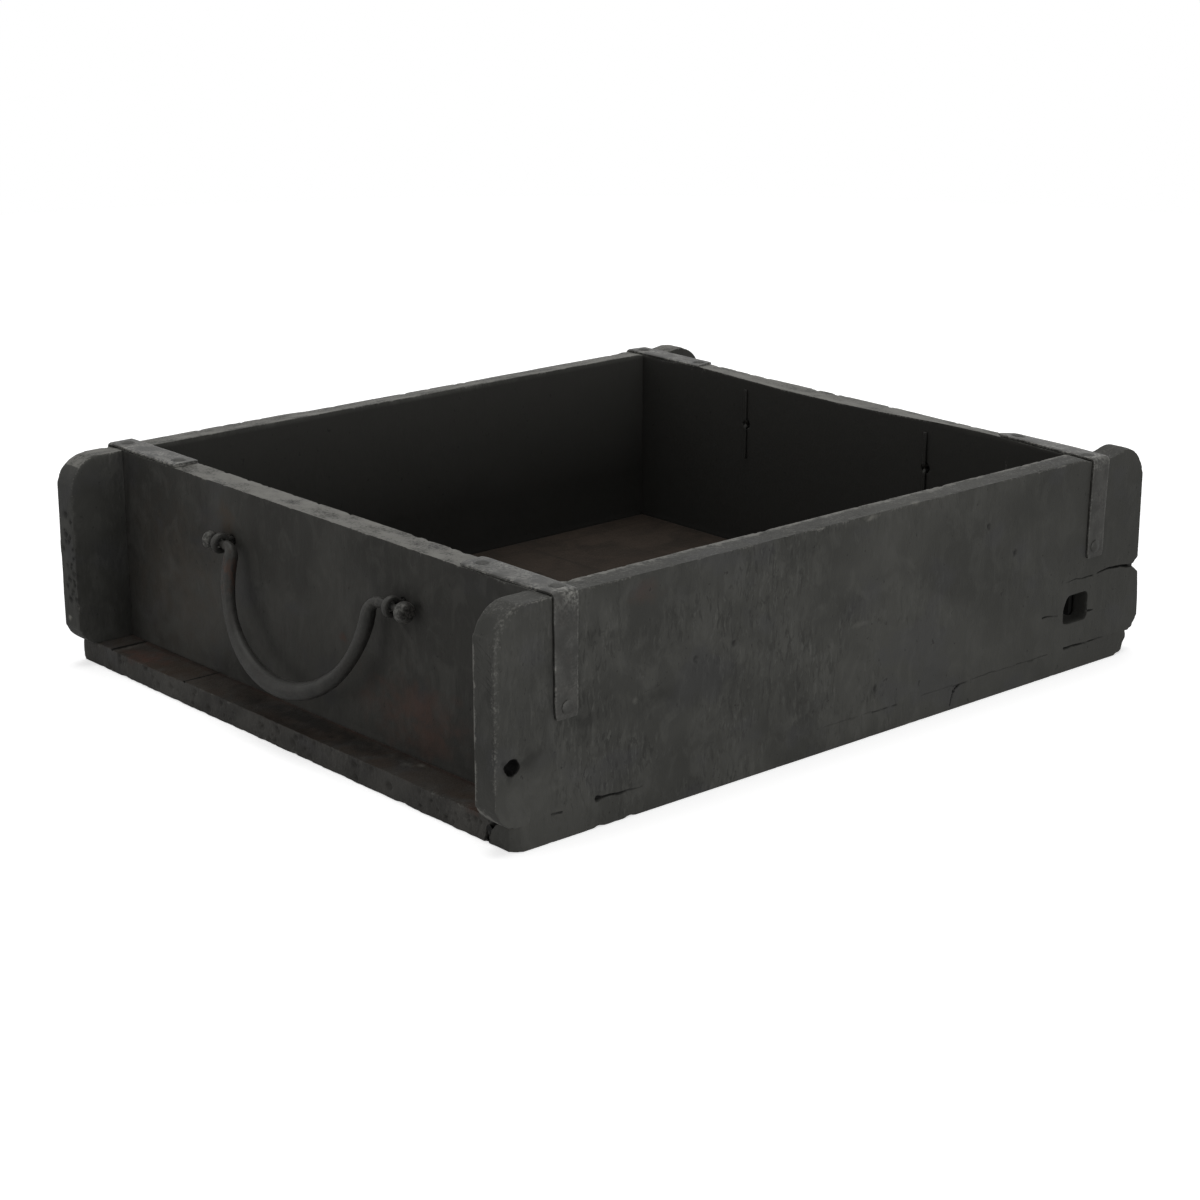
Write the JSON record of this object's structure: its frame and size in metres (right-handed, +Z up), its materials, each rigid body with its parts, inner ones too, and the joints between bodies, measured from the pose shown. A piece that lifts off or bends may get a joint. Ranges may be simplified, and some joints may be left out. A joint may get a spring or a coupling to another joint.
{
  "type": "brick mould",
  "caption": "Shallow open-topped wooden brick mould with eared side boards, iron corner straps and a swinging forged bail handle at each end.",
  "frame": {"origin": "on the ground, under the middle of the box", "axes": "+X along the side boards, +Y from the front side board to the back one, +Z up"},
  "size_m": [0.33, 0.27, 0.086],
  "materials": {
    "painted_board": "worn matte black paint on rough-sawn wood",
    "base_board": "worn matte black paint with brown wood showing through",
    "strap_iron": "black-painted iron strip, rubbed at its edges",
    "handle_iron": "black-painted forged iron with a trace of rust"
  },
  "bodies": {
    "box": {"front_side_board": "painted_board", "back_side_board": "painted_board", "left_end_board": "painted_board", "right_end_board": "painted_board", "wide_base_board": "base_board", "narrow_base_board": "base_board", "back_base_strip": "base_board", "long_front_strip": "base_board", "short_front_strip": "base_board", "front_left_strap": "strap_iron", "front_right_strap": "strap_iron", "back_left_strap": "strap_iron", "back_right_strap": "strap_iron", "strap_nails": "strap_iron", "base_nails": "strap_iron", "left_front_eye_pin": "handle_iron", "left_back_eye_pin": "handle_iron", "right_front_eye_pin": "handle_iron", "right_back_eye_pin": "handle_iron"},
    "left_handle": {"left_bail": "handle_iron"},
    "right_handle": {"right_bail": "handle_iron"}
  },
  "joints": [
    {"name": "left_bail_swing", "type": "hinge", "parent": "box", "child": "left_handle", "pos_m": [-0.1465, -0.0034, 0.0635], "axis": [0, 1, 0], "range_deg": [-15, 172]},
    {"name": "right_bail_swing", "type": "hinge", "parent": "box", "child": "right_handle", "pos_m": [0.1465, 0.0034, 0.0635], "axis": [0, -1, 0], "range_deg": [-15, 172]}
  ]
}
